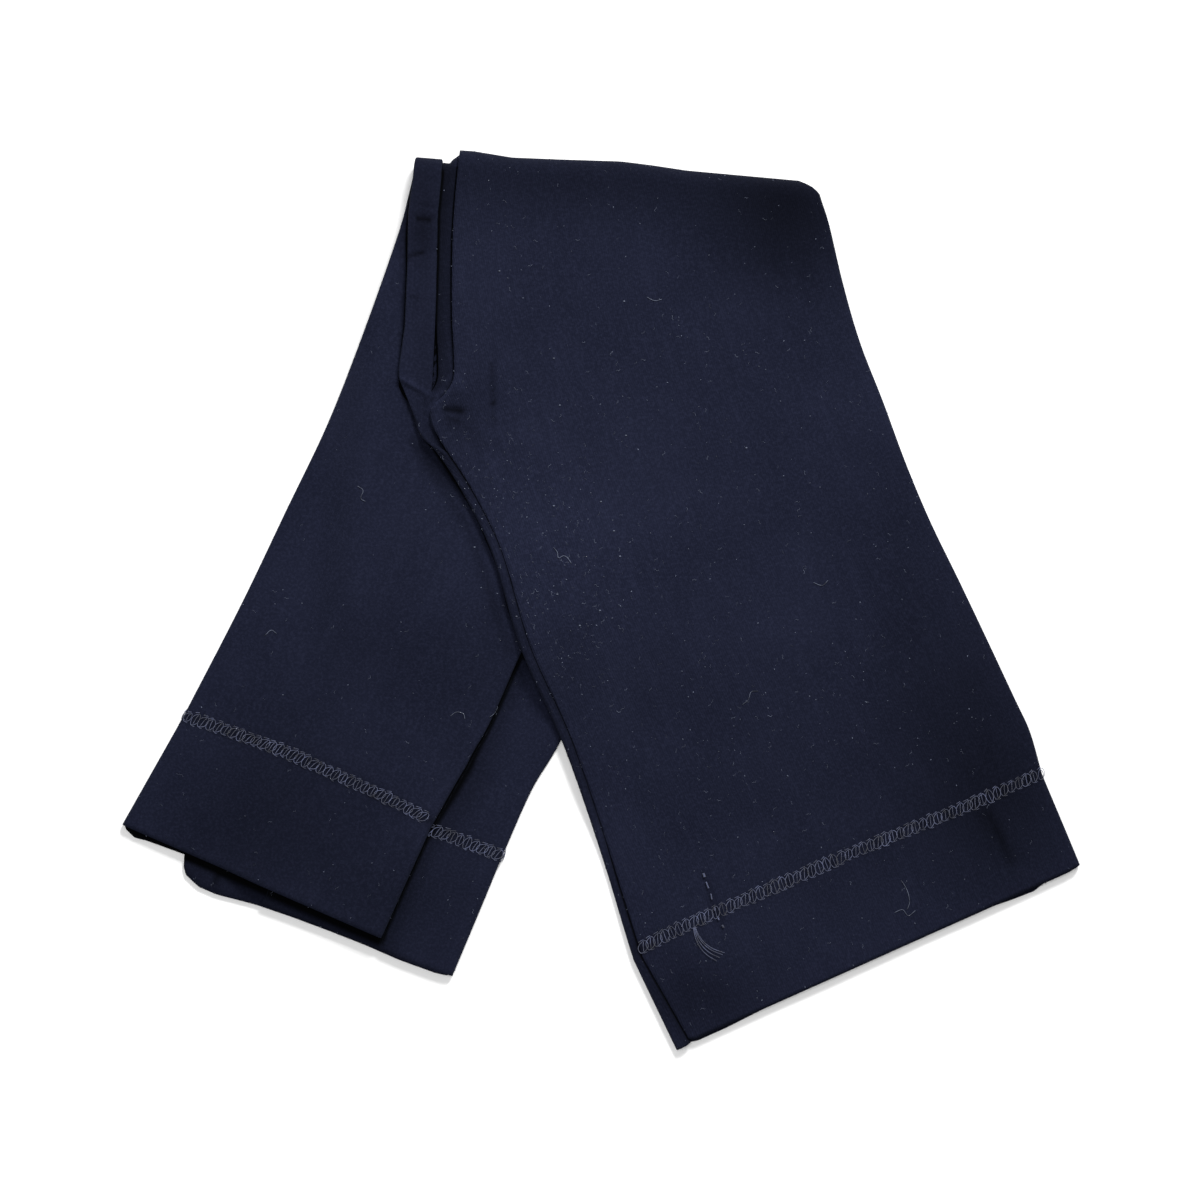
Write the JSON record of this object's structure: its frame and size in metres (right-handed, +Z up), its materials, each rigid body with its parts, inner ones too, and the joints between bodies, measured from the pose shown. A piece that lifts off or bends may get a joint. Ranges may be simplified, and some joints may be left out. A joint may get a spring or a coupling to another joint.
{
  "type": "child's leggings folded flat",
  "caption": "Knee-length cotton jersey leggings, folded under at the hip and laid flat with one leg over the other, a deep stitched hem at each leg opening.",
  "frame": {"origin": "Centre of the bounding box in plan, on the surface that the folded leggings lie on, z = 0.", "axes": "+Z up out of the surface. +Y from the hems towards the fold at the hip, +X towards the hem of the upper, right leg."},
  "size_m": [0.273, 0.256, 0.0127],
  "materials": {
    "jersey": "matt navy cotton jersey, washed, with lint",
    "thread": "slate-blue sewing thread"
  },
  "bodies": {
    "root": {"right_leg": "jersey", "right_hem": "jersey", "left_leg": "jersey", "left_hem": "jersey", "left_pleat": "jersey", "left_body": "jersey", "left_rise": "jersey", "waistband": "jersey"}
  },
  "joints": []
}
